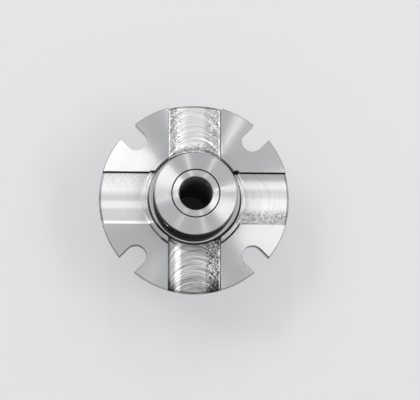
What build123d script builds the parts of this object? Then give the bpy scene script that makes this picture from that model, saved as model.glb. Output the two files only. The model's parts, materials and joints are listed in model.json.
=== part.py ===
# Cartridge mechanical seal. A gland plate carries the stationary seat, and a shaft sleeve runs
# through it with the drive collar outside and the sprung rotary face inside.
# Millimetres. Z is the shaft axis, and z = 0 is the sleeve's process end.
import os
from math import cos, radians, sin

from build123d import *

os.makedirs("parts", exist_ok=True)

# Fits and edge breaks
SEATED = 0.02           # gap round a piece that is pressed or clamped in place
RUNNING = 0.3           # radial gap between pieces that turn or slide past each other
EDGE = 0.4              # light chamfer on a turned edge
FINE_EDGE = 0.3

# Shaft sleeve
SHAFT_R = 10.0
SLEEVE_WALL = 4.25
SLEEVE_R = SHAFT_R + SLEEVE_WALL
SLEEVE_END = 90.0
SHOULDER_WIDE = 7.75
SHOULDER_R = SLEEVE_R + SHOULDER_WIDE
SHOULDER_TOP = 8.0
SHAFT_GROOVE_DEEP = 2.4
SHAFT_GROOVE_R = SHAFT_R + SHAFT_GROOVE_DEEP
SHAFT_GROOVE_LOW = 2.4
SHAFT_GROOVE_TOP = 5.6

# Rotary face, floating on the sleeve
FACE_LOW = 36.0
FACE_STEP = 39.0
FACE_NECK_TOP = 43.5
SEAT_FACE = 46.0
FACE_BORE_R = SLEEVE_R + RUNNING
COUNTERBORE_WIDE = 2.45
COUNTERBORE_R = SLEEVE_R + COUNTERBORE_WIDE
COUNTERBORE_DEEP = 3.5
COUNTERBORE_TOP = FACE_LOW + COUNTERBORE_DEEP
NOSE_STEP = 2.25
NOSE_WIDE = 3.0
NOSE_IN = FACE_BORE_R + NOSE_STEP
NOSE_OUT = NOSE_IN + NOSE_WIDE
NECK_STEP = 0.7
FACE_NECK_R = NOSE_OUT + NECK_STEP
FACE_RIM = 1.0
FACE_R = FACE_NECK_R + FACE_RIM
NOTCH_DEEP = 5.0
THRUST_THICK = 3.0
THRUST_LOW = FACE_LOW - THRUST_THICK
THRUST_R = FACE_R - 0.5

# Spring retainer
CUP_GAP = 0.4
CUP_R = FACE_R + CUP_GAP
CUP_WALL = 2.1
RETAINER_R = CUP_R + CUP_WALL
RETAINER_TOP = FACE_LOW + 5.0
CUP_FLOOR = THRUST_LOW - 2.0
SPRING_COUNT = 6
SPRING_PCD_R = (SLEEVE_R + RETAINER_R) / 2 - 0.5
SPRING_POCKET_R = 2.5
SPRING_POCKET_DEEP = 10.0
SPRING_LOW = CUP_FLOOR - SPRING_POCKET_DEEP
SPRING_COIL_R = 1.85
SPRING_WIRE_R = 0.36
SPRING_TURNS = 5
RETAINER_SCREW_Z = SHOULDER_TOP + 6.0
RETAINER_SCREW_R = 2.5
RETAINER_SCREW_COUNT = 3
RETAINER_SCREW_KEY = 1.25
SNAP_GAP = 0.5
SNAP_THICK = 1.0
SNAP_LOW = FACE_STEP + SNAP_GAP
SNAP_TOP = SNAP_LOW + SNAP_THICK
SNAP_GROOVE_R = CUP_R + 0.9
SNAP_IN = FACE_NECK_R + CUP_GAP
SNAP_OPEN = 5.0

# Drive pins between the retainer and the rotary face
DRIVE_PIN_R = 1.2
DRIVE_PIN_PCD_R = FACE_R - 1.3
DRIVE_PIN_LOW = CUP_FLOOR - 6.0
DRIVE_PIN_TOP = FACE_STEP - 0.4
NOTCH_HALF = DRIVE_PIN_R + RUNNING
NOTCH_IN = DRIVE_PIN_PCD_R - DRIVE_PIN_R - RUNNING
NOTCH_LONG = 6.0

# Stationary seat in its pocket
SEAT_BORE_R = SLEEVE_R + 1.75
SEAT_R = NOSE_OUT + 3.0
POCKET_GAP = 0.2
POCKET_R = SEAT_R + POCKET_GAP
SEAT_GROOVE_DEEP = 2.2
SEAT_GROOVE_R = SEAT_R - SEAT_GROOVE_DEEP
SEAT_GROOVE_LOW = SEAT_FACE + 4.0
SEAT_GROOVE_TOP = SEAT_GROOVE_LOW + 3.6
SEAT_THICK = 12.0
WEB_LOW = SEAT_FACE + SEAT_THICK
SEAT_PIN_R = 1.25
SEAT_PIN_FIT = 0.1
SEAT_PIN_PCD_R = POCKET_R - 2.6
SEAT_PIN_LOW = WEB_LOW - 3.0
SEAT_PIN_TOP = WEB_LOW + 3.0

# Throttle bush in the web behind the recess
WEB_THICK = 6.5
WEB_TOP = WEB_LOW + WEB_THICK
WEB_R = SLEEVE_R + 3.75
BUSH_RIM = 2.0
BUSH_RIM_THICK = 1.0

# Drive collar
COLLAR_WALL = 10.5
COLLAR_R = SLEEVE_R + COLLAR_WALL
COLLAR_LOW = WEB_TOP + BUSH_RIM_THICK + 0.5
FLANGE_R = COLLAR_R + 2.75
FLANGE_TOP = COLLAR_LOW + 4.6
SCREW_DOWN = 10.0
SCREW_Z = SLEEVE_END - SCREW_DOWN
SCREW_R = 3.0
SCREW_TIP_R = 1.9
SCREW_SUNK = 1.2
SCREW_KEY = 1.5
SCREW_KEY_DEEP = 3.0
SCREW_COUNT = 4

# Gland plate
SPIGOT_R = 35.0
SPIGOT_END = SEAT_FACE - 2.0
GLAND_RIM = 23.0
GLAND_R = SPIGOT_R + GLAND_RIM
GLAND_FACE = WEB_TOP + 5.5
GLAND_THICK = 10.0
GLAND_BACK = GLAND_FACE - GLAND_THICK
RIM_EDGE = 0.5
RECESS_R = FLANGE_R + 1.2
RING_WIDE = 2.6
RING_HIGH = 4.0
RING_R = RECESS_R + RING_WIDE
RING_TOP = GLAND_FACE + RING_HIGH

# Milled channels across the gland plate
CHANNEL_HALF = 16.0
CHANNEL_DEEP = 3.0      # depth at the side walls
CHANNEL_SAG = 1.6       # hollow of the floor
CHANNEL_SIDE = GLAND_FACE - CHANNEL_DEEP
CHANNEL_MID = CHANNEL_SIDE - CHANNEL_SAG
CHANNEL_FOOT = 0.8      # fillet at the foot of the walls
CHANNEL_END = 1.3       # chamfer where the floor meets the rim
LIP_WIDE = 0.3          # thin lip left round the recess
LIP_TOP = CHANNEL_SIDE + 1.6
LIP_FOOT_R = RECESS_R + 4.5
LIP_FOOT_Z = CHANNEL_MID - 0.1
LIP_SAG = -0.7          # hollow of the lip's outer side

# Stud slots
SLOT_COUNT = 4
SLOT_HALF = 6.5
SLOT_RIM = 8.0
SLOT_CENTRE_R = GLAND_R - SLOT_RIM

# Gland O-ring groove
GROOVE_IN = SPIGOT_R + 1.2
GROOVE_WIDE = 3.6
GROOVE_OUT = GROOVE_IN + GROOVE_WIDE
GROOVE_DEEP = 2.5
GLAND_RING_R = GROOVE_WIDE / 2 - 0.2


def outward(angle, radius, height):
    """Plane at a radius and height that faces outwards at the given angle."""
    a = radians(angle)
    return Plane(
        origin=(radius * cos(a), radius * sin(a), height),
        x_dir=(-sin(a), cos(a), 0),
        z_dir=(cos(a), sin(a), 0),
    )


def o_ring(r_in, r_out, height):
    """O-ring that fills the radial space between two radii, less the seated gap."""
    minor = (r_out - r_in) / 2 - SEATED
    with BuildPart() as ring:
        with Locations((0, 0, height)):
            Torus((r_in + r_out) / 2, minor)
    return ring.part


# Gland plate: turned body, milled channels, thin lip, then the bores and slots
with BuildPart() as gland_plate:
    with BuildSketch(Plane.XZ):
        with BuildLine():
            Polyline(
                (SPIGOT_R, SPIGOT_END + EDGE),
                (SPIGOT_R, GLAND_BACK),
                (GLAND_R - RIM_EDGE, GLAND_BACK),
                (GLAND_R, GLAND_BACK + RIM_EDGE),
                (GLAND_R, GLAND_FACE - RIM_EDGE),
                (GLAND_R - RIM_EDGE, GLAND_FACE),
                (RING_R, GLAND_FACE),
                (RING_R, RING_TOP - FINE_EDGE),
                (RING_R - FINE_EDGE, RING_TOP),
                (WEB_R, RING_TOP),
                (WEB_R, WEB_LOW),
                (POCKET_R, WEB_LOW),
                (POCKET_R, SPIGOT_END + EDGE),
                (POCKET_R + EDGE, SPIGOT_END),
                (SPIGOT_R - EDGE, SPIGOT_END),
                close=True,
            )
        make_face()
    revolve(axis=Axis.Z)
    for side in (Plane.XZ, Plane.YZ):
        with BuildSketch(side) as channel:
            with BuildLine():
                ThreePointArc(
                    (-CHANNEL_HALF, CHANNEL_SIDE),
                    (0, CHANNEL_MID),
                    (CHANNEL_HALF, CHANNEL_SIDE),
                )
                Polyline(
                    (CHANNEL_HALF, CHANNEL_SIDE),
                    (CHANNEL_HALF, RING_TOP + 1),
                    (-CHANNEL_HALF, RING_TOP + 1),
                    (-CHANNEL_HALF, CHANNEL_SIDE),
                )
            make_face()
            feet = channel.vertices().sort_by(Axis.Z)[:2]
            fillet(feet, CHANNEL_FOOT)
        extrude(amount=GLAND_R + 5, both=True, mode=Mode.SUBTRACT)
    ends = []
    for edge in gland_plate.edges():
        middle = edge.center()
        out = (middle.X ** 2 + middle.Y ** 2) ** 0.5
        level = GLAND_BACK + CHANNEL_END < middle.Z < CHANNEL_SIDE + CHANNEL_FOOT + 0.1
        if level and out > GLAND_R - 3 and edge.geom_type != GeomType.LINE:
            ends.append(edge)
    chamfer(ends, CHANNEL_END)
    with BuildSketch(Plane.XZ):
        with BuildLine():
            SagittaArc(
                (RECESS_R + LIP_WIDE, LIP_TOP),
                (LIP_FOOT_R, LIP_FOOT_Z),
                LIP_SAG,
            )
            Polyline(
                (LIP_FOOT_R, LIP_FOOT_Z),
                (LIP_FOOT_R, WEB_TOP - 1),
                (RECESS_R - 2, WEB_TOP - 1),
                (RECESS_R - 2, LIP_TOP),
                (RECESS_R + LIP_WIDE, LIP_TOP),
            )
        make_face()
    revolve(axis=Axis.Z)
    with BuildSketch(Plane.XZ):
        with BuildLine():
            Polyline(
                (0, WEB_TOP),
                (RECESS_R, WEB_TOP),
                (RECESS_R, RING_TOP - FINE_EDGE),
                (RECESS_R + FINE_EDGE, RING_TOP),
                (RECESS_R + FINE_EDGE, RING_TOP + 1),
                (0, RING_TOP + 1),
                close=True,
            )
        make_face()
    revolve(axis=Axis.Z, mode=Mode.SUBTRACT)
    with BuildSketch(Plane.XY.offset(GLAND_BACK)):
        with PolarLocations(SLOT_CENTRE_R, SLOT_COUNT, start_angle=45):
            Circle(SLOT_HALF)
            with Locations((SLOT_HALF, 0)):
                Rectangle(2 * SLOT_HALF, 2 * SLOT_HALF)
    extrude(amount=GLAND_FACE - GLAND_BACK, mode=Mode.SUBTRACT)
    with BuildSketch(Plane.XY.offset(GLAND_BACK)):
        Circle(GROOVE_OUT)
        Circle(GROOVE_IN, mode=Mode.SUBTRACT)
    extrude(amount=GROOVE_DEEP, mode=Mode.SUBTRACT)
    with BuildSketch(Plane.XY.offset(WEB_LOW)):
        with PolarLocations(SEAT_PIN_PCD_R, 2, start_angle=90):
            Circle(SEAT_PIN_R + SEATED)
    extrude(amount=SEAT_PIN_TOP - WEB_LOW, mode=Mode.SUBTRACT)
gland_plate.part.label = "gland_plate"
export_step(gland_plate.part, "parts/gland_plate.step")

# Gland O-ring, standing a little proud of the bolting face
with BuildPart() as gland_o_ring:
    with Locations((0, 0, GLAND_BACK + GROOVE_DEEP - GLAND_RING_R - SEATED)):
        Torus((GROOVE_IN + GROOVE_OUT) / 2, GLAND_RING_R)
gland_o_ring.part.label = "gland_o_ring"
export_step(gland_o_ring.part, "parts/gland_o_ring.step")

# Stationary seat
with BuildPart() as stationary_seat:
    with BuildSketch(Plane.XZ):
        with BuildLine():
            Polyline(
                (SEAT_BORE_R, SEAT_FACE + EDGE),
                (SEAT_BORE_R + EDGE, SEAT_FACE),
                (SEAT_R - 2 * EDGE, SEAT_FACE),
                (SEAT_R, SEAT_FACE + 2 * EDGE),
                (SEAT_R, SEAT_GROOVE_LOW),
                (SEAT_GROOVE_R, SEAT_GROOVE_LOW),
                (SEAT_GROOVE_R, SEAT_GROOVE_TOP),
                (SEAT_R, SEAT_GROOVE_TOP),
                (SEAT_R, WEB_LOW - EDGE),
                (SEAT_R - EDGE, WEB_LOW),
                (SEAT_BORE_R, WEB_LOW),
                close=True,
            )
        make_face()
    revolve(axis=Axis.Z)
    with BuildSketch(Plane.XY.offset(SEAT_PIN_LOW)):
        with PolarLocations(SEAT_PIN_PCD_R, 2, start_angle=90):
            Circle(SEAT_PIN_R + SEAT_PIN_FIT)
    extrude(amount=WEB_LOW - SEAT_PIN_LOW, mode=Mode.SUBTRACT)
stationary_seat.part.label = "stationary_seat"
export_step(stationary_seat.part, "parts/stationary_seat.step")

seat_o_ring = o_ring(SEAT_GROOVE_R, POCKET_R, (SEAT_GROOVE_LOW + SEAT_GROOVE_TOP) / 2)
seat_o_ring.label = "seat_o_ring"
export_step(seat_o_ring, "parts/seat_o_ring.step")

# Anti-rotation pins between the seat and the gland plate
with BuildPart() as seat_pins:
    with BuildSketch(Plane.XY.offset(SEAT_PIN_LOW + SEATED)):
        with PolarLocations(SEAT_PIN_PCD_R, 2, start_angle=90):
            Circle(SEAT_PIN_R)
    extrude(amount=SEAT_PIN_TOP - SEAT_PIN_LOW - 2 * SEATED)
seat_pins.part.label = "seat_pins"
export_step(seat_pins.part, "parts/seat_pins.step")

# Throttle bush in the web of the gland plate
with BuildPart() as throttle_bush:
    with BuildSketch(Plane.XZ):
        with BuildLine():
            Polyline(
                (SLEEVE_R + RUNNING, WEB_LOW),
                (WEB_R - SEATED - EDGE, WEB_LOW),
                (WEB_R - SEATED, WEB_LOW + EDGE),
                (WEB_R - SEATED, WEB_TOP),
                (WEB_R + BUSH_RIM, WEB_TOP),
                (WEB_R + BUSH_RIM, WEB_TOP + BUSH_RIM_THICK),
                (SLEEVE_R + RUNNING, WEB_TOP + BUSH_RIM_THICK),
                close=True,
            )
        make_face()
    revolve(axis=Axis.Z)
throttle_bush.part.label = "throttle_bush"
export_step(throttle_bush.part, "parts/throttle_bush.step")

# Shaft sleeve: plain tube with a shoulder, an inner groove and holes for the screw tips
with BuildPart() as shaft_sleeve:
    with BuildSketch(Plane.XZ):
        with BuildLine():
            Polyline(
                (SHAFT_R + EDGE, 0),
                (SHOULDER_R - EDGE, 0),
                (SHOULDER_R, EDGE),
                (SHOULDER_R, SHOULDER_TOP - EDGE),
                (SHOULDER_R - EDGE, SHOULDER_TOP),
                (SLEEVE_R, SHOULDER_TOP),
                (SLEEVE_R, SLEEVE_END - EDGE),
                (SLEEVE_R - EDGE, SLEEVE_END),
                (SHAFT_R + EDGE, SLEEVE_END),
                (SHAFT_R, SLEEVE_END - EDGE),
                (SHAFT_R, SHAFT_GROOVE_TOP),
                (SHAFT_GROOVE_R, SHAFT_GROOVE_TOP),
                (SHAFT_GROOVE_R, SHAFT_GROOVE_LOW),
                (SHAFT_R, SHAFT_GROOVE_LOW),
                (SHAFT_R, EDGE),
                close=True,
            )
        make_face()
    revolve(axis=Axis.Z)
    for i in range(SCREW_COUNT):
        with BuildSketch(outward(45 + 360 / SCREW_COUNT * i, SHAFT_R - 1, SCREW_Z)):
            Circle(SCREW_TIP_R + RUNNING)
        extrude(amount=SLEEVE_R - SHAFT_R + 2, mode=Mode.SUBTRACT)
    for i in range(RETAINER_SCREW_COUNT):
        with BuildSketch(outward(360 / RETAINER_SCREW_COUNT * i, SLEEVE_R - 1, RETAINER_SCREW_Z)):
            Circle(RETAINER_SCREW_R - 0.7)
        extrude(amount=2, mode=Mode.SUBTRACT)
shaft_sleeve.part.label = "shaft_sleeve"
export_step(shaft_sleeve.part, "parts/shaft_sleeve.step")

shaft_o_ring = o_ring(SHAFT_R + 3 * SEATED, SHAFT_GROOVE_R, (SHAFT_GROOVE_LOW + SHAFT_GROOVE_TOP) / 2)
shaft_o_ring.label = "shaft_o_ring"
export_step(shaft_o_ring, "parts/shaft_o_ring.step")

# Drive collar with a base flange and four tapped holes
with BuildPart() as drive_collar:
    with BuildSketch(Plane.XZ):
        with BuildLine():
            Polyline(
                (SLEEVE_R + SEATED, COLLAR_LOW),
                (FLANGE_R - FINE_EDGE, COLLAR_LOW),
                (FLANGE_R, COLLAR_LOW + FINE_EDGE),
                (FLANGE_R, FLANGE_TOP - FINE_EDGE),
                (FLANGE_R - FINE_EDGE, FLANGE_TOP),
                (COLLAR_R, FLANGE_TOP),
                (COLLAR_R, SLEEVE_END - RIM_EDGE),
                (COLLAR_R - RIM_EDGE, SLEEVE_END),
                (SLEEVE_R + SEATED + EDGE, SLEEVE_END),
                (SLEEVE_R + SEATED, SLEEVE_END - EDGE),
                close=True,
            )
        make_face()
    revolve(axis=Axis.Z)
    for i in range(SCREW_COUNT):
        with BuildSketch(outward(45 + 360 / SCREW_COUNT * i, SLEEVE_R - 2, SCREW_Z)):
            Circle(SCREW_R + SEATED)
        extrude(amount=COLLAR_R - SLEEVE_R + 4, mode=Mode.SUBTRACT)
drive_collar.part.label = "drive_collar"
export_step(drive_collar.part, "parts/drive_collar.step")

# Collar set screws, sunk below the collar's side, with their tips in the sleeve's holes
with BuildPart() as collar_set_screws:
    for i in range(SCREW_COUNT):
        angle = 45 + 360 / SCREW_COUNT * i
        with BuildSketch(outward(angle, SLEEVE_R + EDGE, SCREW_Z)):
            Circle(SCREW_R)
        extrude(amount=COLLAR_R - SLEEVE_R - EDGE - SCREW_SUNK)
        with BuildSketch(outward(angle, SHAFT_R + 0.5, SCREW_Z)):
            Circle(SCREW_TIP_R)
        extrude(amount=SLEEVE_R - SHAFT_R)
        with BuildSketch(outward(angle, COLLAR_R - SCREW_SUNK, SCREW_Z)):
            RegularPolygon(radius=SCREW_KEY, side_count=6, major_radius=False)
        extrude(amount=-SCREW_KEY_DEEP, mode=Mode.SUBTRACT)
collar_set_screws.part.label = "collar_set_screws"
export_step(collar_set_screws.part, "parts/collar_set_screws.step")

# Spring retainer: a thick ring with spring pockets and a cup for the rotary face
with BuildPart() as spring_retainer:
    with BuildSketch(Plane.XZ):
        with BuildLine():
            Polyline(
                (SLEEVE_R + SEATED, SHOULDER_TOP),
                (RETAINER_R - EDGE, SHOULDER_TOP),
                (RETAINER_R, SHOULDER_TOP + EDGE),
                (RETAINER_R, RETAINER_TOP - EDGE),
                (RETAINER_R - EDGE, RETAINER_TOP),
                (CUP_R, RETAINER_TOP),
                (CUP_R, SNAP_TOP + SEATED),
                (SNAP_GROOVE_R, SNAP_TOP + SEATED),
                (SNAP_GROOVE_R, SNAP_LOW - SEATED),
                (CUP_R, SNAP_LOW - SEATED),
                (CUP_R, CUP_FLOOR),
                (SLEEVE_R + SEATED, CUP_FLOOR),
                close=True,
            )
        make_face()
    revolve(axis=Axis.Z)
    with BuildSketch(Plane.XY.offset(SPRING_LOW)):
        with PolarLocations(SPRING_PCD_R, SPRING_COUNT, start_angle=30):
            Circle(SPRING_POCKET_R)
    extrude(amount=CUP_FLOOR - SPRING_LOW, mode=Mode.SUBTRACT)
    with BuildSketch(Plane.XY.offset(DRIVE_PIN_LOW)):
        with PolarLocations(DRIVE_PIN_PCD_R, 2, start_angle=0):
            Circle(DRIVE_PIN_R + SEATED)
    extrude(amount=CUP_FLOOR - DRIVE_PIN_LOW, mode=Mode.SUBTRACT)
    for i in range(RETAINER_SCREW_COUNT):
        with BuildSketch(outward(360 / RETAINER_SCREW_COUNT * i, SLEEVE_R - 2, RETAINER_SCREW_Z)):
            Circle(RETAINER_SCREW_R + SEATED)
        extrude(amount=RETAINER_R - SLEEVE_R + 4, mode=Mode.SUBTRACT)
spring_retainer.part.label = "spring_retainer"
export_step(spring_retainer.part, "parts/spring_retainer.step")

# Retainer screws, with their tips in the sleeve's dimples
with BuildPart() as retainer_screws:
    for i in range(RETAINER_SCREW_COUNT):
        angle = 360 / RETAINER_SCREW_COUNT * i
        with BuildSketch(outward(angle, SLEEVE_R + EDGE, RETAINER_SCREW_Z)):
            Circle(RETAINER_SCREW_R)
        extrude(amount=RETAINER_R - SLEEVE_R - EDGE - 0.6)
        with BuildSketch(outward(angle, SLEEVE_R - 0.9, RETAINER_SCREW_Z)):
            Circle(RETAINER_SCREW_R - 1)
        extrude(amount=2)
        with BuildSketch(outward(angle, RETAINER_R - 0.6, RETAINER_SCREW_Z)):
            RegularPolygon(radius=RETAINER_SCREW_KEY, side_count=6, major_radius=False)
        extrude(amount=-2.5, mode=Mode.SUBTRACT)
retainer_screws.part.label = "retainer_screws"
export_step(retainer_screws.part, "parts/retainer_screws.step")

# Drive pins
with BuildPart() as drive_pins:
    with BuildSketch(Plane.XY.offset(DRIVE_PIN_LOW + SEATED)):
        with PolarLocations(DRIVE_PIN_PCD_R, 2, start_angle=0):
            Circle(DRIVE_PIN_R)
    extrude(amount=DRIVE_PIN_TOP - DRIVE_PIN_LOW - SEATED)
drive_pins.part.label = "drive_pins"
export_step(drive_pins.part, "parts/drive_pins.step")

# Snap ring that keeps the rotary face in the cup
with BuildPart() as face_snap_ring:
    with BuildSketch(Plane.XY.offset(SNAP_LOW)):
        Circle(SNAP_GROOVE_R - SEATED)
        Circle(SNAP_IN, mode=Mode.SUBTRACT)
        with Locations((0, SNAP_GROOVE_R)):
            Rectangle(SNAP_OPEN, SNAP_OPEN, mode=Mode.SUBTRACT)
    extrude(amount=SNAP_TOP - SNAP_LOW)
face_snap_ring.part.label = "face_snap_ring"
export_step(face_snap_ring.part, "parts/face_snap_ring.step")

# Thrust ring between the springs and the rotary face
with BuildPart() as thrust_ring:
    with BuildSketch(Plane.XY.offset(THRUST_LOW)):
        Circle(THRUST_R)
        Circle(FACE_BORE_R, mode=Mode.SUBTRACT)
        with PolarLocations(NOTCH_IN, 2, start_angle=0):
            with Locations((NOTCH_LONG / 2, 0)):
                Rectangle(NOTCH_LONG, 2 * NOTCH_HALF, mode=Mode.SUBTRACT)
    extrude(amount=FACE_LOW - THRUST_LOW)
thrust_ring.part.label = "thrust_ring"
export_step(thrust_ring.part, "parts/thrust_ring.step")

# Rotary face with a narrow sealing nose and two drive notches
with BuildPart() as rotary_face:
    with BuildSketch(Plane.XZ):
        with BuildLine():
            Polyline(
                (COUNTERBORE_R, FACE_LOW),
                (FACE_R, FACE_LOW),
                (FACE_R, FACE_STEP),
                (FACE_NECK_R, FACE_STEP),
                (FACE_NECK_R, FACE_NECK_TOP - EDGE),
                (FACE_NECK_R - EDGE, FACE_NECK_TOP),
                (NOSE_OUT, FACE_NECK_TOP),
                (NOSE_OUT, SEAT_FACE),
                (NOSE_IN, SEAT_FACE),
                (NOSE_IN, FACE_NECK_TOP),
                (FACE_BORE_R, FACE_NECK_TOP),
                (FACE_BORE_R, COUNTERBORE_TOP),
                (COUNTERBORE_R, COUNTERBORE_TOP),
                close=True,
            )
        make_face()
    revolve(axis=Axis.Z)
    with BuildSketch(Plane.XY.offset(FACE_LOW)):
        with PolarLocations(NOTCH_IN, 2, start_angle=0):
            with Locations((NOTCH_LONG / 2, 0)):
                Rectangle(NOTCH_LONG, 2 * NOTCH_HALF)
    extrude(amount=NOTCH_DEEP, mode=Mode.SUBTRACT)
rotary_face.part.label = "rotary_face"
export_step(rotary_face.part, "parts/rotary_face.step")

# Face O-ring, which slides on the sleeve with the rotary face
face_ring_low = SLEEVE_R + SEATED
face_ring_minor = (COUNTERBORE_R - face_ring_low) / 2 - SEATED
face_o_ring = o_ring(face_ring_low, COUNTERBORE_R, FACE_LOW + face_ring_minor + SEATED)
face_o_ring.label = "face_o_ring"
export_step(face_o_ring, "parts/face_o_ring.step")

# Coil springs, ground flat at both ends
for i in range(SPRING_COUNT):
    turn = radians(30 + 360 / SPRING_COUNT * i)
    place = (SPRING_PCD_R * cos(turn), SPRING_PCD_R * sin(turn))
    height = THRUST_LOW - SPRING_LOW
    with BuildPart() as spring:
        with BuildLine() as coil:
            Helix(
                pitch=height / SPRING_TURNS,
                height=height,
                radius=SPRING_COIL_R,
                center=(place[0], place[1], SPRING_LOW),
            )
        with BuildSketch(Plane(origin=coil.line @ 0, z_dir=coil.line % 0)):
            RegularPolygon(radius=SPRING_WIRE_R, side_count=6)
        sweep(is_frenet=True)
        with Locations((place[0], place[1], SPRING_LOW + height / 2)):
            Cylinder(2 * SPRING_COIL_R, height - 2 * SEATED, mode=Mode.INTERSECT)
    spring.part.label = f"spring_{i + 1}"
    export_step(spring.part, f"parts/spring_{i + 1}.step")
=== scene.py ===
import json
from math import cos, radians, sin

import bmesh
import bpy
from mathutils import Matrix, Vector


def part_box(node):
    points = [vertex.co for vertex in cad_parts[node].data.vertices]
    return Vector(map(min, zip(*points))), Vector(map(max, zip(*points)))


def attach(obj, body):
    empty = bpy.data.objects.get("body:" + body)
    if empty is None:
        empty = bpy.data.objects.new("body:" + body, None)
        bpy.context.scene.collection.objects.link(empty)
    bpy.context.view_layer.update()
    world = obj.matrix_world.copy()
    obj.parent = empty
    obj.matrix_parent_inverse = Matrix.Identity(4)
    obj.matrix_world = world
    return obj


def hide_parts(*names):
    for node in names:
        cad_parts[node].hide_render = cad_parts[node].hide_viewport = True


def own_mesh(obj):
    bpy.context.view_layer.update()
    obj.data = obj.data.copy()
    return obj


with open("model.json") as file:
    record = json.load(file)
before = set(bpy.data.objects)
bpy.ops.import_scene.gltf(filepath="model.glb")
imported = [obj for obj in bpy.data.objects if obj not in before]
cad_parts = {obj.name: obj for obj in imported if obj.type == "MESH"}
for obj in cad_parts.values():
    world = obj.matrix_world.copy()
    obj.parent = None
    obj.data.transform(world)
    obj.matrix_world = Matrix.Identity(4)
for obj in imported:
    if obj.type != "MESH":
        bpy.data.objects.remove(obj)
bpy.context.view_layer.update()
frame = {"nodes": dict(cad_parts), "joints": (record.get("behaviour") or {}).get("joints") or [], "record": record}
nodes = frame["nodes"]
mounts = {mount["name"]: mount for mount in frame["record"]["mounts"]}
joints = {joint["name"]: joint for joint in frame["joints"]}
scene = bpy.context.scene

# ---- sizes, in metres ---------------------------------------------------------------------
PLATE_R, _, RING_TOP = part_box("gland_plate")[1]
RING_HIGH = 0.004       # from the plate's turned face to the top of its ring
FACE_Z = RING_TOP - RING_HIGH
RING_OUT = 0.0313       # outside of the ring
RING_IN = 0.0287        # wall of the recess inside it
CHANNEL_HALF = 0.016    # half the width of a channel
SLOT_R = 0.050          # from the axis to a slot's round end
SLOT_HALF = 0.0065      # half the width of a slot
FLANGE_R, _, COLLAR_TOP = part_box("drive_collar")[1]
COLLAR_R = 0.02475
SLEEVE_R = 0.01425
BORE_R = mounts["shaft_bore"]["dims"]["r_mm"] / 1000

# ---- finish -------------------------------------------------------------------------------
FACE_TONE = 0.47        # how much light the turned faces send back
SLEEVE_TONE = 0.5
GROOVE_ROUGH = 0.19     # spread of light along a turned face's streaks
TOOL_R = 0.0163         # radius of the cutter's curved marks in the channels
CHANNEL_ROUGH = 0.5
LEFT_TONE = 0.55        # each channel's tone before its marks, painted light and shade: the arms differ by how light falls on them
RIGHT_TONE = 0.42
UPPER_TONE = 0.36
LOWER_TONE = 0.3


# ---- shader maths -------------------------------------------------------------------------
class Val:
    """A socket with operators, so shader maths reads like ordinary maths."""

    def __init__(self, net, socket):
        self.net = net
        self.socket = socket

    def __add__(self, other):
        return self.net.math("ADD", self, other)

    def __radd__(self, other):
        return self.net.math("ADD", other, self)

    def __sub__(self, other):
        return self.net.math("SUBTRACT", self, other)

    def __rsub__(self, other):
        return self.net.math("SUBTRACT", other, self)

    def __mul__(self, other):
        return self.net.math("MULTIPLY", self, other)

    def __rmul__(self, other):
        return self.net.math("MULTIPLY", other, self)


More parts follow.
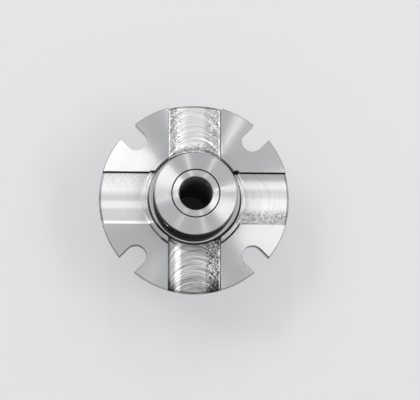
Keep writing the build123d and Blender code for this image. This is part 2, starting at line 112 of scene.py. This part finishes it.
class Net:
    """The node tree of a material or a world, with x, y and z of the point that it shades."""

    def __init__(self, owner, coordinates="Object"):
        owner.use_nodes = True
        self.owner = owner
        self.tree = owner.node_tree
        self.tree.nodes.clear()
        self.point = self.node("ShaderNodeTexCoord", out=coordinates)
        split = self.add("ShaderNodeSeparateXYZ", Vector=self.point)
        self.x, self.y, self.z = [Val(self, split.outputs[i]) for i in range(3)]

    def add(self, kind, settings=None, **inputs):
        """Makes any node, with its settings and its inputs by name, or by number as i0, i1 and so on."""
        made = self.tree.nodes.new(kind)
        for key, value in (settings or {}).items():
            setattr(made, key, value)
        for key, value in inputs.items():
            name = key.replace("_", " ")
            spot = made.inputs[int(key[1:])] if key[1:].isdigit() else made.inputs[name]
            if isinstance(value, Val):
                self.tree.links.new(value.socket, spot)
            else:
                spot.default_value = value
        return made

    def node(self, kind, settings=None, out=0, **inputs):
        return Val(self, self.add(kind, settings, **inputs).outputs[out])

    def math(self, kind, *values):
        inputs = {f"i{i}": value for i, value in enumerate(values)}
        return self.node("ShaderNodeMath", {"operation": kind}, **inputs)

    def absolute(self, value):
        return self.math("ABSOLUTE", value)

    def least(self, first, second):
        return self.math("MINIMUM", first, second)

    def most(self, *values):
        total = values[0]
        for value in values[1:]:
            total = self.math("MAXIMUM", total, value)
        return total

    def length(self, x, y):
        return self.math("SQRT", x * x + y * y)

    def radius(self):
        return self.length(self.x, self.y)

    def angle(self):
        return self.math("ARCTAN2", self.y, self.x)

    def ramp(self, value, low, high, to_low=0.0, to_high=1.0):
        """Value mapped smoothly from one range to another."""
        return self.node("ShaderNodeMapRange", {"interpolation_type": "SMOOTHSTEP"},
                         i0=value, i1=low, i2=high, i3=to_low, i4=to_high)

    def band(self, value, centre, half, soft=0.00003):
        """One within a distance of a value, nought elsewhere."""
        return self.ramp(self.absolute(value - centre), half - soft, half + soft, 1.0, 0.0)

    def pick(self, which, low, high):
        """First value where the switch is nought, second where it is one."""
        return low * (1.0 - which) + high * which

    def vector(self, x, y, z):
        return self.node("ShaderNodeCombineXYZ", X=x, Y=y, Z=z)

    def noise(self, scale, detail=2.0, rough=0.5, vector=None, distortion=0.0):
        return self.node("ShaderNodeTexNoise", out="Fac", Vector=vector or self.point, Scale=scale,
                         Detail=detail, Roughness=rough, Distortion=distortion)

    def bump(self, height, distance):
        return self.node("ShaderNodeBump", Height=height, Distance=distance)

    def grey(self, value):
        return self.node("ShaderNodeCombineColor", Red=value, Green=value, Blue=value)

    def scaled(self, colour, factor):
        return self.node("ShaderNodeVectorMath", {"operation": "SCALE"}, i0=colour, Scale=factor)

    def shader(self, **inputs):
        return self.node("ShaderNodeBsdfPrincipled", **inputs)

    def mix(self, factor, first, second):
        """First shader where the factor is nought, second where it is one."""
        return self.node("ShaderNodeMixShader", i0=factor, i1=first, i2=second)

    def output(self, shader):
        self.add("ShaderNodeOutputMaterial", Surface=shader)
        return self.owner


def material(name):
    return Net(bpy.data.materials.new(name))


def wear(node, finish):
    for slot in nodes[node].material_slots:
        slot.material = finish


# ---- turned and milled steel --------------------------------------------------------------
def steel(net, tone, rough=GROOVE_ROUGH):
    """Turned steel: grooves round the axis, so that light spreads into radial streaks."""
    return net.shader(Base_Color=net.grey(tone), Metallic=1.0, Roughness=rough,
                      Anisotropic=1.0, Anisotropic_Rotation=0.25)


def black(net):
    """Near black, which sends almost nothing back: for dark joints, and for painted shade in corners, at walls and
    edges and on the collar's side.
    """
    return net.shader(Base_Color=(0.005, 0.005, 0.0055, 1), Roughness=0.6, Specular_IOR_Level=0.05)


def grain(net, depth=0.06):
    """Fine rings and soft patches that turning and handling leave on a face."""
    rings = net.noise(1.0, 2.0, 0.5, net.vector(net.radius() * 2600.0, net.angle() * 3.0, 0.0))
    patches = net.noise(70.0, 3.0, 0.6)
    return (rings - 0.5) * depth + (patches - 0.5) * depth


def turned(name, tone, rough):
    net = material(name)
    return net.output(steel(net, grain(net) + tone, rough))


class Arms:
    """The cross of channels: where a point lies along and across its arm, and which arm that is.
    Flat is one in the left and right arms, and far is one in the upper and right arms."""

    def __init__(self, net):
        self.net = net
        self.flat = net.math("GREATER_THAN", net.absolute(net.x), net.absolute(net.y))
        self.across = net.pick(self.flat, net.x, net.y)
        self.along = net.pick(self.flat, net.y, net.x)
        self.far = net.math("GREATER_THAN", self.along, 0.0)
        self.edge = net.absolute(self.across)
        inside = net.most(TOOL_R * TOOL_R - self.across * self.across, 0.0)
        self.arc = self.along + TOOL_R - net.math("SQRT", inside)

    def choose(self, lower, upper, left, right):
        """One value for each arm."""
        net = self.net
        return net.pick(self.flat, net.pick(self.far, lower, upper), net.pick(self.far, left, right))

    def cuts(self, fineness, spread, draw, detail=2.0, rough=0.5):
        """Noise drawn out along the cutter's curve. The draw differs between the two channels."""
        place = self.net.vector(self.arc * fineness, self.across * spread, draw)
        return self.net.noise(1.0, detail, rough, place)

    def striped(self, tone, bands, slopes):
        """A tone with stripes of painted highlight and shade along the arm. A band is its centre, half width,
        softness and strength.
        A slope is where it starts, where it is full, and its strength."""
        for centre, half, soft, strength in bands:
            tone = tone + self.net.band(self.across, centre, half, soft) * strength
        for start, full, strength in slopes:
            tone = tone + self.net.ramp(self.across, start, full) * strength
        return tone


def channel_painted_light(net, arms, bright_cuts):
    """Each arm's tone before its fine marks: painted light and shade, with a different tone for each arm and
    stripes of painted highlight and shade along it.
    """
    edge = arms.edge
    left = arms.striped(
        LEFT_TONE,
        bands=[(-0.0036, 0.0022, 0.0010, 0.09)],
        slopes=[(0.0065, 0.0005, -0.20), (-0.0060, -0.0075, -0.03), (-0.0130, -0.0150, 0.26)],
    )
    right = arms.striped(
        RIGHT_TONE,
        bands=[(0.0080, 0.0020, 0.0015, 0.08), (0.0035, 0.0025, 0.0015, -0.04),
               (-0.0028, 0.0030, 0.0015, 0.04), (0.0134, 0.0020, 0.0012, -0.13)],
        slopes=[(-0.0062, -0.0095, -0.13)],
    )
    upper = arms.striped(
        UPPER_TONE,
        bands=[(-0.0085, 0.0030, 0.0015, 0.06), (0.0085, 0.0022, 0.0015, -0.10)],
        slopes=[],
    )
    # Painted shade near the upper arm's walls, with its bright cutter marks
    upper = upper - net.ramp(edge, 0.0100, 0.0120) * 0.1 + bright_cuts * 0.12
    # The lower arm: a painted highlight strip left of its middle, and painted shade at its left edge and right
    # side
    lower = arms.striped(
        LOWER_TONE,
        bands=[(-0.0100, 0.0016, 0.0012, 0.31), (-0.0158, 0.0012, 0.0010, -0.2)],
        slopes=[(0.0060, 0.0080, -0.09)],
    )
    # Painted shade in the corners of the lower arm's outer end
    shaded_end_corners = net.ramp(net.absolute(arms.along), 0.047, 0.055) * net.ramp(edge, 0.006, 0.012)
    lower = lower + bright_cuts * 0.1 - shaded_end_corners * 0.25
    return arms.choose(lower, upper, left, right)


def channel_shader(net):
    """Milled channel floor: curved cutter marks and mottled sides, with painted light and shade: a tone that
    differs in each arm, a darker lower end, a brighter lip and bright edge strips.
    """
    arms = Arms(net)
    flat, far, across, edge = arms.flat, arms.far, arms.across, arms.edge
    cuts = arms.cuts(1500.0, 40.0, flat * 7.3)
    fine_cuts = arms.cuts(3200.0, 90.0, flat * 3.1 + 5.0, rough=0.6)
    bright_cuts = net.ramp(arms.cuts(620.0, 30.0, flat * 2.0 + 9.0, detail=1.0), 0.54, 0.66)
    mottle = net.noise(900.0, 4.0, 0.65, distortion=0.4)
    speck = net.ramp(mottle, 0.4, 0.6)
    mottled = arms.choose(
        lower=net.ramp(across, 0.006, 0.009) * 1.5,
        upper=net.most(net.ramp(edge, 0.006, 0.010), net.ramp(arms.along, 0.036, 0.032)) * 0.75,
        left=net.ramp(across, 0.006, 0.012) * 0.18,
        right=net.ramp(across, -0.006, -0.010) * 0.7,
    )
    depth = arms.choose(lower=1.8, upper=0.9, left=0.12, right=0.26)

    tone = channel_painted_light(net, arms, bright_cuts)
    tone = tone * (1.0 + (cuts - 0.5) * depth * 1.6 + (fine_cuts - 0.5) * depth)
    tone = tone * (1.0 + mottled * (speck - 0.5) * 1.1)

    # Painted shade makes the lower arm's end darker in the middle, and painted light makes the lip round the
    # recess brighter
    shaded_arm_end = (1.0 - flat) * (1.0 - far) * net.ramp(arms.arc, -0.0455, -0.0475)
    shaded_arm_end = shaded_arm_end * net.ramp(edge, 0.0095, 0.0080)
    lip = net.ramp(net.radius(), 0.0322, 0.0300)
    tone = tone * (1.0 - shaded_arm_end * (0.2 + speck * 0.2))
    tone = tone * (1.0 + lip * net.pick(flat, 0.5, 1.3))

    # A painted highlight: a broken, bright strip at the foot of the upper and lower arms' walls
    painted_edge_highlight = net.band(edge, 0.0152, 0.0003, 0.0002) * (1.0 - flat)
    painted_edge_highlight = painted_edge_highlight * net.ramp(net.noise(300.0, 2.0), 0.3, 0.55)
    painted_edge_highlight = painted_edge_highlight * net.most(far, net.ramp(across, 0.0, 0.001))
    tone = net.least(net.most(tone + painted_edge_highlight * 0.45, 0.03), 0.98)

    height = cuts + fine_cuts * 0.4 + mottle * mottled * 2.0
    return net.shader(Base_Color=net.grey(tone), Metallic=1.0, Roughness=CHANNEL_ROUGH,
                      Normal=net.bump(height, 0.00012))


def wall_shadows(net, r, near):
    """Where the channels' walls, the ring's outside and the corners at their feet are dark."""
    upper_wall = net.band(net.y, CHANNEL_HALF, 0.0001)
    side = net.band(near, CHANNEL_HALF, 0.00006) * (0.35 + upper_wall * 0.65)
    strong = net.most(net.ramp(net.x, -0.004, 0.004, 0.4, 1.0), net.ramp(net.y, -0.0235, -0.0250))
    ring = net.band(r, RING_OUT, 0.00006) * net.ramp(net.y, 0.0, -0.016, 0.35, 1.0) * strong
    wall = net.most(side, ring) * net.ramp(net.z, FACE_Z - 0.0028, FACE_Z - 0.0003, 0.95, 0.25)

    ring_end = upper_wall * net.ramp(r, RING_OUT + 0.0002, RING_OUT + 0.0001)
    ring_end = ring_end * net.ramp(net.z, RING_TOP - 0.0003, RING_TOP, 1.0, 0.2)
    upper_foot = net.band(net.y, CHANNEL_HALF - 0.0003, 0.00035, 0.0001)
    upper_foot = upper_foot * net.ramp(r, RING_OUT, RING_OUT + 0.0004)
    ring_corner = net.band(net.x, 0.0252, 0.0017, 0.0003)
    ring_corner = ring_corner * net.band(net.y, CHANNEL_HALF - 0.0004, 0.0008, 0.0002)

    foot_r = RING_OUT + 0.0003 + net.ramp(net.y, -0.021, -0.027) * 0.0003
    ring_foot = net.band(r, foot_r, 0.0004, 0.0001) * net.ramp(net.y, -0.012, -0.016)
    ring_foot = ring_foot * net.ramp(near, CHANNEL_HALF - 0.0002, CHANNEL_HALF) * strong
    return net.most(wall, ring_end, ring_corner, upper_foot, ring_foot)


def slot_edges(net, r, ax, ay):
    """The edges of the four slots, which lie on the diagonals."""
    root_two = 2 ** 0.5
    straight = net.band(net.absolute(ax - ay), SLOT_HALF * root_two, 0.0002)
    straight = straight * net.ramp(r, SLOT_R - 0.0002, SLOT_R)
    from_centre = net.length(ax - SLOT_R / root_two, ay - SLOT_R / root_two)
    round_end = net.band(from_centre, SLOT_HALF, 0.0001) * net.ramp(r, SLOT_R, SLOT_R - 0.0002)
    return net.most(straight, round_end)


def milled_gland():
    """Turned face with four milled channels, with near black painted shade in its deep corners, in the recess and
    at some edges, and a pale band of painted light on the recess wall at the back.
    """
    net = material("gland_steel")
    r = net.radius()
    ax, ay = net.absolute(net.x), net.absolute(net.y)
    near = net.least(ax, ay)

    # Painted shade: the recess inside the ring is dark, most of all towards the front
    recess = net.ramp(r, RING_IN + 0.00005, RING_IN + 0.00015, 1.0, 0.0)
    recess = recess * net.ramp(net.y, 0.012, -0.004, 0.12, 1.0)
    inner = net.most(wall_shadows(net, r, near), recess)
    inner = inner * net.ramp(net.z, FACE_Z - 0.0058, FACE_Z - 0.0054)
    # Painted shade: dark lines at the rim and the slots' edges, towards the front
    rim = net.band(r, PLATE_R, 0.0001) * 0.5
    outer = net.most(slot_edges(net, r, ax, ay), rim) * net.ramp(net.y, -0.008, -0.020)
    outer = outer * net.ramp(net.z, FACE_Z - 0.0045, FACE_Z - 0.0032)
    # Painted light: a pale band high on the recess wall at the back, where no painted shade goes
    painted_pale_band = net.band(r, RING_IN, 0.0001) * net.ramp(net.y, 0.004, 0.010)
    painted_pale_band = painted_pale_band * net.ramp(net.z, FACE_Z + 0.0008, FACE_Z + 0.0020)
    dark = net.most(inner, outer) * (1.0 - painted_pale_band)

    # The colour of that band of painted light
    pale = net.shader(Base_Color=(0.8, 0.8, 0.81, 1), Roughness=0.6)
    face = net.mix(painted_pale_band, steel(net, grain(net) + FACE_TONE), pale)
    channel = net.ramp(near, CHANNEL_HALF - 0.00005, CHANNEL_HALF + 0.00005, 1.0, 0.0)
    channel = channel * net.ramp(net.z, FACE_Z - 0.0065, FACE_Z - 0.0063)
    return net.output(net.mix(dark, net.mix(channel, face, channel_shader(net)), black(net)))


def collar_metal():
    """Turned face, and a polished side and flange, whose side goes dark at a glancing angle. Painted shade darkens
    the side towards the bottom and the flange next to the collar, whose foot is painted black.
    """
    net = material("collar_steel")
    r = net.radius()
    below = net.ramp(r, COLLAR_R - 0.00015, COLLAR_R - 0.00005)
    below = below * net.ramp(net.z, COLLAR_TOP - 0.0008, COLLAR_TOP - 0.0004, 1.0, 0.0)
    flange = net.ramp(r, COLLAR_R + 0.00015, COLLAR_R + 0.00023)
    joint = net.ramp(r, SLEEVE_R + 0.0003, SLEEVE_R + 0.0005, 1.0, 0.0)

    polished = net.shader(Base_Color=(0.45, 0.45, 0.46, 1), Metallic=1.0, Roughness=0.12,
                          Specular_Tint=(0.0, 0.0, 0.0, 1))
    # Painted shade: the side is darker towards the bottom
    shade = net.ramp(net.z, RING_TOP, COLLAR_TOP - 0.002, 0.8, 0.45)
    side = net.mix(shade, polished, black(net))
    # Painted shade: the flange is darker next to the collar
    flange_shaded_tone = net.grey(net.ramp(r, FLANGE_R - 0.0011, FLANGE_R - 0.0005, 0.42, 0.55))
    mirror = net.shader(Base_Color=flange_shaded_tone, Metallic=1.0,
                        Roughness=net.ramp(r, FLANGE_R - 0.0009, FLANGE_R - 0.0003, 0.04, 0.4))
    # Painted shade: black at the foot of the collar
    foot = net.ramp(r, COLLAR_R + 0.00055, COLLAR_R + 0.00025)
    lower = net.mix(flange, side, net.mix(foot, mirror, black(net)))
    face = steel(net, grain(net) + FACE_TONE)
    return net.output(net.mix(joint, net.mix(below, face, lower), black(net)))


def sleeve_metal():
    """Turned all over, with painted shade in the bore and a dark joint round its end."""
    net = material("sleeve_steel")
    r = net.radius()
    bore = net.ramp(r, BORE_R + 0.0001, BORE_R + 0.0002, 1.0, 0.0)
    joint = net.ramp(r, SLEEVE_R - 0.00035, SLEEVE_R - 0.00015)
    joint = joint * net.ramp(net.z, COLLAR_TOP - 0.002, COLLAR_TOP - 0.0015)
    # Painted shade: the bore is dark grey
    deep = net.shader(Base_Color=(0.16, 0.16, 0.165, 1), Roughness=0.35, Specular_IOR_Level=0.5)
    plain = steel(net, grain(net) + SLEEVE_TONE)
    return net.output(net.mix(joint, net.mix(bore, plain, deep), black(net)))


# ---- other materials ----------------------------------------------------------------------
def rubber(name):
    """Moulded nitrile: near black, satin, with a faint bloom."""
    net = material(name)
    bloom = net.noise(260.0, 3.0, 0.6)
    return net.output(net.shader(Base_Color=net.grey(0.012 + bloom * 0.02), Roughness=0.38 + bloom * 0.2,
                                 Normal=net.bump(net.noise(2600.0, 2.0), 0.00002)))


def plain_metal(name, colour, rough):
    """Ground or drawn metal with fine scratches of uneven shine."""
    net = material(name)
    scratch = net.noise(1.0, 3.0, 0.6, net.vector(net.x * 900.0, net.y * 900.0, net.z * 5200.0))
    return net.output(net.shader(Base_Color=net.scaled(colour, 0.85 + scratch * 0.3), Metallic=1.0,
                                 Roughness=rough + (scratch - 0.5) * 0.15,
                                 Normal=net.bump(scratch, 0.00001)))


def brass():
    """Turned brass with rings round the axis."""
    net = material("bush_brass")
    tint = net.scaled((0.62, 0.42, 0.2), grain(net, 0.3) + 1.0)
    return net.output(net.shader(Base_Color=tint, Metallic=1.0, Roughness=0.28,
                                 Anisotropic=0.8, Anisotropic_Rotation=0.25))


def ceramic():
    """Dark silicon carbide with fine glinting grains."""
    net = material("seat_ceramic")
    glint = net.ramp(net.noise(5200.0, 2.0, 0.7), 0.6, 0.7)
    cloud = net.noise(180.0, 3.0, 0.6)
    tone = 0.035 + cloud * 0.03 + glint * 0.08
    return net.output(net.shader(Base_Color=net.grey(tone), Roughness=0.22 + cloud * 0.1,
                                 Normal=net.bump(glint, 0.00001)))


def carbon():
    """Pressed carbon, black with a soft shine."""
    net = material("face_carbon")
    pore = net.ramp(net.noise(3800.0, 2.0, 0.7), 0.36, 0.44)
    return net.output(net.shader(Base_Color=net.grey(0.012 + pore * 0.02), Roughness=0.5 - pore * 0.16,
                                 Normal=net.bump(pore, 0.00002)))


wear("gland_plate", milled_gland())
wear("drive_collar", collar_metal())
wear("shaft_sleeve", sleeve_metal())
wear("spring_retainer", turned("retainer_steel", 0.52, 0.28))
wear("thrust_ring", turned("thrust_steel", 0.5, 0.25))
wear("throttle_bush", brass())
wear("stationary_seat", ceramic())
wear("rotary_face", carbon())
wear("face_snap_ring", plain_metal("snap_ring_steel", (0.16, 0.15, 0.15), 0.36))
for node in ("gland_o_ring", "seat_o_ring", "shaft_o_ring", "face_o_ring"):
    wear(node, rubber(node + "_rubber"))
for node in ("seat_pins", "drive_pins"):
    wear(node, plain_metal(node + "_steel", (0.55, 0.55, 0.56), 0.2))
for node in ("collar_set_screws", "retainer_screws"):
    wear(node, plain_metal(node + "_steel", (0.09, 0.09, 0.1), 0.34))


# ---- springs ------------------------------------------------------------------------------
def living_spring(node, wire, travel):
    """Copy of a coil spring, welded at its seams and carried with the rotor, in place of the original."""
    low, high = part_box(node)
    coil = bpy.data.objects.new(node + "_coil", nodes[node].data.copy())
    scene.collection.objects.link(coil)
    joined = bmesh.new()
    joined.from_mesh(coil.data)
    bmesh.ops.remove_doubles(joined, verts=joined.verts, dist=1e-7)
    joined.to_mesh(coil.data)
    joined.free()
    coil.data.materials.clear()
    coil.data.materials.append(wire)
    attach(coil, "rotor")
    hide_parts(node)
    1 - travel / (high[2] - low[2])
    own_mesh(coil)


spring_wire = plain_metal("spring_wire", (0.5, 0.5, 0.51), 0.24)
pushed_back = -joints["face_float"]["range_m"][0]
for spring in joints["face_float"]["deforming_nodes"]:
    living_spring(spring["node"], spring_wire, pushed_back)


# ---- floor --------------------------------------------------------------------------------
def floor_white():
    """White floor that keeps a soft shadow, with painted shadow below the bore."""
    net = material("floor_white")
    path = net.add("ShaderNodeLightPath")
    rays = [Val(net, path.outputs[f"Is {kind} Ray"]) for kind in ("Camera", "Glossy", "Transmission")]
    lit = net.node("ShaderNodeBsdfDiffuse", Color=(0.55, 0.55, 0.56, 1))
    # An even glow, dimmed below the bore as painted shadow
    steady = net.node("ShaderNodeEmission", Color=(0.71, 0.71, 0.73, 1),
                      Strength=net.ramp(net.radius(), BORE_R + 0.0005, 0.022, 0.01, 1.0))
    unseen = net.node("ShaderNodeBsdfDiffuse", Color=(0.5, 0.5, 0.5, 1))
    return net.output(net.mix(net.most(*rays), unseen, net.mix(0.5, lit, steady)))


bpy.ops.mesh.primitive_plane_add(size=6, location=(0, 0, 0))
floor = bpy.context.object
floor.name = "floor"
floor.data.materials.append(floor_white())


# ---- lights -------------------------------------------------------------------------------
MIDDLE = Vector((0, 0, FACE_Z))     # centre of the plate's face


def room_light(strength):
    """A plain room: even overhead, with pale and darker stretches of wall lower down."""
    net = Net(bpy.data.worlds.new("room"), "Generated")
    turn = net.angle()
    walls = 0.62 + net.math("SINE", turn * 3.0 + 0.6) * 0.3 + net.math("SINE", turn * 7.0 + 2.0) * 0.12
    tone = net.pick(net.ramp(net.z, 0.15, 0.6), walls, 1.0)
    light = net.node("ShaderNodeBackground", Color=(0.985, 0.998, 1.022, 1), Strength=tone * strength)
    net.add("ShaderNodeOutputWorld", Surface=light)
    return net.owner


def lamp(name, azimuth, elevation, distance, width, height, power):
    """Area light that faces the middle of the plate from a direction in degrees."""
    a = radians(azimuth)
    e = radians(elevation)
    way = Vector((cos(a) * cos(e), sin(a) * cos(e), sin(e)))
    data = bpy.data.lights.new(name, "AREA")
    data.shape = "RECTANGLE"
    data.size = width
    data.size_y = height
    data.energy = power
    data.color = (1.0, 0.997, 0.965)
    thing = bpy.data.objects.new(name, data)
    thing.location = MIDDLE + way * distance
    thing.rotation_mode = "QUATERNION"
    thing.rotation_quaternion = way.to_track_quat("Z", "Y")
    scene.collection.objects.link(thing)


scene.view_settings.view_transform = "Standard"
scene.world = room_light(0.88)
lamp("window", azimuth=141, elevation=60, distance=2.2, width=0.84, height=0.6, power=18)
lamp("door", azimuth=346, elevation=60, distance=2.2, width=0.8, height=0.6, power=13)
lamp("side", azimuth=28, elevation=62, distance=1.5, width=0.07, height=0.3, power=1.45)
lamp("tube_left", azimuth=97, elevation=50, distance=1.5, width=0.02, height=0.4, power=2.2)
lamp("tube_right", azimuth=64, elevation=50, distance=1.5, width=0.02, height=0.4, power=1.7)
lamp("shelf", azimuth=42, elevation=60, distance=2.2, width=0.6, height=0.5, power=0.8)

# ---- camera -------------------------------------------------------------------------------
# It stands almost straight above, leaning to the front and a little to the left
LEAN_LEFT = radians(2.3)
LEAN_FRONT = radians(8.4)
LEAN = radians(8.7)                 # the two together
AWAY = Vector((-sin(LEAN_LEFT), -sin(LEAN_FRONT), cos(LEAN)))
EYE_DISTANCE = 0.91
AIM = MIDDLE + Vector((0.0094, -0.0012, 0))
LENS = 128.6                        # millimetres

data = bpy.data.cameras.new("camera")
data.lens = LENS
camera = bpy.data.objects.new("camera", data)
scene.collection.objects.link(camera)
scene.camera = camera
eye = MIDDLE + AWAY.normalized() * EYE_DISTANCE
ahead = (AIM - eye).normalized()
right = ahead.cross(Vector((0, 1, 0))).normalized()
up = right.cross(ahead)
camera.matrix_world = Matrix((
    (right.x, up.x, -ahead.x, eye.x),
    (right.y, up.y, -ahead.y, eye.y),
    (right.z, up.z, -ahead.z, eye.z),
    (0, 0, 0, 1),
))
